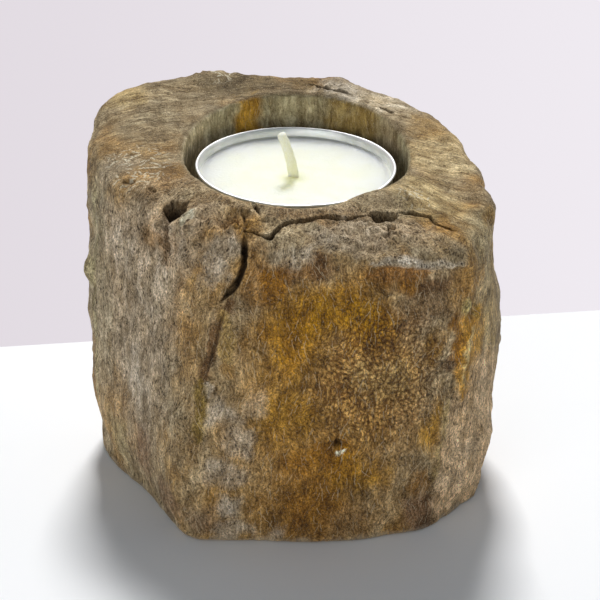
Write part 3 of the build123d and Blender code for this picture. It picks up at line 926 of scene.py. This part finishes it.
def wax():
    """The candle: a slightly dished top with a meniscus at the wall and round the wick."""
    foot = FLOOR_Z + PANEL_RISE + CUP_THICKNESS
    radii = [*np.linspace(0.9, 3.4, 12), *np.linspace(3.9, 16.5, 24), *np.linspace(16.9, WAX_RADIUS, 12)]
    profile = [(r, WAX_Z) for r in radii]
    profile += [(WAX_RADIUS - 0.55 * t, WAX_Z - 10.6 * t) for t in np.linspace(0.06, 1.0, 10)]
    profile += [(17.2, foot + 0.6), (16.7, foot), (6.5, foot)]

    def wobble(a, r, _z, ring):
        """The top's rise at the cup's wall and at the wick, and its slight waves."""
        if ring >= len(radii):
            return 0.0, 0.0
        x, y = r * math.cos(a), r * math.sin(a)
        near = math.hypot(x + AXIS_X - WICK_X, y + AXIS_Y - WICK_Y)
        rise = 0.6 * math.exp(-(WAX_RADIUS - r) / 0.7) + 0.6 * math.exp(-((near / 1.7) ** 2))
        rise += 0.06 * noise.fractal(Vector((x, y, 0)) / 6.0, 1.0, 2.0, 3) - 0.1
        return 0.0, rise

    verts, faces = lathe(profile, WAX_SEGMENTS, wobble)
    shift = np.array((WICK_X - AXIS_X, WICK_Y - AXIS_Y, 0.0))  # the inner rings close round the wick
    verts = [np.array(v) + shift * (1.0 - min(1.0, math.hypot(v[0] - AXIS_X, v[1] - AXIS_Y) / 16.0))
             for v in verts]
    obj = mesh_object("wax_body", verts, faces, "candle", "wax")
    s = Shader("ivory_paraffin")
    mm = s.millimetres()
    cloud = s.noise(mm, 0.16, 4.0)
    fleck = s.noise(mm, 1.6, 2.0)
    from_wick = s.vector("SUBTRACT", mm, (WICK_X, WICK_Y, WAX_Z))
    away = s.length(s.squashed(from_wick, 1, 1, 0.3))
    colour = s.mix(s.ramp(cloud, 0.3, 0.7), (0.955, 0.94, 0.71, 1), (0.975, 0.965, 0.78, 1))
    colour = s.mix(s.ramp(away, 0.8, 4.2, 0.7, 0), colour, (0.9, 0.88, 0.52, 1))
    obj.data.materials.append(s.finish(
        Base_Color=colour, Roughness=s.ramp(fleck, 0.3, 0.7, 0.34, 0.48), Normal=s.bump(fleck, 0.25, 0.0004),
        Subsurface_Weight=1.0, Subsurface_Radius=(1.0, 0.95, 0.8), Subsurface_Scale=0.01))


def wick_line():
    """The wick's centreline: straight up through the wax, a short bend, then a long curl left."""
    points, x, z, lean = [], WICK_X, float(WICK_LOW[2]), 0.0
    for length, turn, steps in ((WAX_Z - BEND_DEPTH - z, 0, 10), WICK_BEND, WICK_CURL):
        for _ in range(steps):
            points.append((x, WICK_Y, z, lean))
            lean += math.radians(turn / steps)
            x -= math.sin(lean) * length / steps
            z += math.cos(lean) * length / steps
    return points + [(x, WICK_Y, z, lean)]


def wick():
    """The wick: three waxed cotton plies twisted together, with a rounded tip."""
    line, sides = wick_line(), WICK_SIDES
    verts, faces, length = [], [], 0.0
    total = sum(math.dist(a[:3], b[:3]) for a, b in zip(line, line[1:]))
    for i, (x, y, z, lean) in enumerate(line):
        if i:
            length += math.dist(line[i][:3], line[i - 1][:3])
        close = math.sqrt(max(0.0, 1 - max(0.0, 1 - (total - length) / 0.75) ** 2))
        swell = 1 + 0.2 * float(1 - step(z, WAX_Z, WAX_Z + 9))
        for k in range(sides):
            a = 2 * math.pi * k / sides
            ply = 0.93 + 0.07 * abs(math.cos(1.5 * (a + length * 0.95)))
            rough = 0.03 * noise.noise(Vector((math.cos(a) * 2, math.sin(a) * 2, length * 1.8)))
            r = WICK_RADIUS * (ply + rough + 0.06) * max(close, 0.02)
            if z > WAX_Z:
                r *= swell
            u, v = r * math.cos(a), r * math.sin(a)
            verts.append((x + u * math.cos(lean), y + v, z + u * math.sin(lean)))
    for i in range(len(line) - 1):
        for k in range(sides):
            j = (k + 1) % sides
            faces.append((i * sides + k, i * sides + j, (i + 1) * sides + j, (i + 1) * sides + k))
    faces.append(tuple(range(sides))[::-1])
    faces.append(tuple((len(line) - 1) * sides + k for k in range(sides)))
    obj = mesh_object("wick_cord", verts, faces, "candle", "wick")
    s = Shader("waxed_cotton")
    mm = s.millimetres()
    thread = s.noise(s.squashed(mm, 3.0, 3.0, 1.2), 2.4, 3.0)
    height = s.axes(mm)[2]
    colour = s.mix(s.ramp(thread, 0.3, 0.7), (0.9, 0.86, 0.58, 1), (0.97, 0.95, 0.74, 1))
    colour = s.mix(s.ramp(height, WAX_Z, WAX_Z + 6, 0.4, 0), colour, (0.88, 0.86, 0.5, 1))
    obj.data.materials.append(s.finish(
        Base_Color=colour, Roughness=s.ramp(thread, 0.3, 0.7, 0.5, 0.7), Normal=s.bump(thread, 0.5, 0.0002),
        Subsurface_Weight=0.9, Subsurface_Radius=(1.0, 0.95, 0.6), Subsurface_Scale=0.006))


def sustainer_material():
    """Tinned steel sheet for the hidden sustainer."""
    s = Shader("tinned_steel")
    mm = s.millimetres()
    crystal = s.cell_pattern(mm, 0.6, out=1)
    rub = s.noise(s.squashed(mm, 1, 12, 1), 0.8, 3.0)
    colour = s.mix(0.12, (0.62, 0.62, 0.6, 1), crystal)
    material = s.finish(Base_Color=colour, Metallic=1.0, Normal=s.bump(rub, 0.2, 0.0001),
                        Roughness=s.ramp(rub, 0.3, 0.7, 0.25, 0.45))
    data = NODES["wick_sustainer"].data
    data.materials.clear()
    data.materials.append(material)


# ---- camera, light and stage
TARGET, DISTANCE, ELEVATION, ROLL = (1.6, -1.3, 36.9), 439.3, 26.55, 1.2
LENS, SENSOR = 132.9, 36.0


def camera():
    """A camera in front, looking down at the block's middle, rolled slightly."""
    e, q = math.radians(ELEVATION), math.radians(ROLL)
    back = Vector((0.0, -math.cos(e), math.sin(e)))
    right, up = Vector((1, 0, 0)), Vector((0.0, math.sin(e), math.cos(e)))
    right, up = right * math.cos(q) + up * math.sin(q), up * math.cos(q) - right * math.sin(q)
    cam = bpy.data.objects.new("camera", bpy.data.cameras.new("camera"))
    cam.data.lens, cam.data.sensor_width = LENS, SENSOR
    cam.data.clip_start, cam.data.clip_end = 0.01, 50.0
    rows = Matrix((right, up, back)).transposed().to_4x4()
    cam.matrix_world = Matrix.Translation((Vector(TARGET) + back * DISTANCE) * MM) @ rows
    link(cam)
    bpy.context.scene.camera = cam


def area_light(name, spot, aim, size, power, colour=(1, 1, 1)):
    """A soft square studio light at a spot, aimed at another."""
    light = bpy.data.lights.new(name, "AREA")
    light.shape, light.size, light.energy, light.color = "SQUARE", size, power, colour
    obj = bpy.data.objects.new(name, light)
    obj.location = spot
    obj.rotation_mode = "QUATERNION"
    obj.rotation_quaternion = (Vector(aim) - Vector(spot)).to_track_quat("-Z", "Y")
    link(obj)


def plain_material(name, colour):
    """A matt material of one colour, for the stage."""
    return Shader(name).finish(Base_Color=(*colour, 1), Roughness=0.9)


def sheet(name, corners, material):
    """A flat stage sheet."""
    mesh = bpy.data.meshes.new(name)
    mesh.from_pydata(corners, [], [(0, 1, 2, 3)])
    obj = bpy.data.objects.new(name, mesh)
    mesh.materials.append(material)
    link(obj)
    return obj


def backdrop_material():
    """Even pale lavender from the front, a little darker on the left, and nothing from behind."""
    s = Shader("backdrop_pale")
    x = s.axes(s.millimetres())[0]
    colour = s.mix(s.ramp(x, -90, 90), (0.76, 0.71, 0.76, 1), (0.87, 0.83, 0.88, 1))
    glow = s.node("Emission", 0, None, i0=colour, i1=1.0)
    clear = s.node("BsdfTransparent", 0)
    behind = s.node("NewGeometry", 6)
    shown = s.node("MixShader", 0, None, i0=behind, i1=glow, i2=clear)
    s.tree.links.new(shown, s.tree.nodes["Material Output"].inputs["Surface"])
    return s.material


def stage():
    """A white floor, a pale backdrop that stands on it behind the block, and three soft lights."""
    reach = 3.0
    sheet("floor", [(x * reach, y * reach, 0) for x, y in ((-1, -1), (1, -1), (1, 1), (-1, 1))],
          plain_material("floor_white", (0.9, 0.9, 0.905)))
    left, right, up = Vector((-0.15, 0.0306, 0)), Vector((0.16, 0.0863, 0)), Vector((0, 0, 0.3))
    wall = sheet("backdrop", [left, right, right + up, left + up], backdrop_material())
    wall.visible_shadow = wall.visible_diffuse = False
    world = bpy.data.worlds.new("soft")
    world.use_nodes = True
    background = world.node_tree.nodes["Background"]
    background.inputs[0].default_value = (0.82, 0.93, 1.04, 1)
    background.inputs[1].default_value = 0.18
    bpy.context.scene.world = world
    area_light("key", (-0.04, 0.86, 1.44), (0, 0, 0.03), 0.34, 27.2)
    area_light("fill", (-0.42, -0.9, 0.24), (0, 0, 0.03), 0.7, 3.4, (0.97, 0.985, 1.0))
    area_light("side", (0.95, 0.15, 0.45), (0, 0, 0.05), 0.5, 0.7)


bpy.context.scene.view_settings.view_transform = "Standard"
camera()
stage()
stone()
cup()
wax()
wick()
sustainer_material()
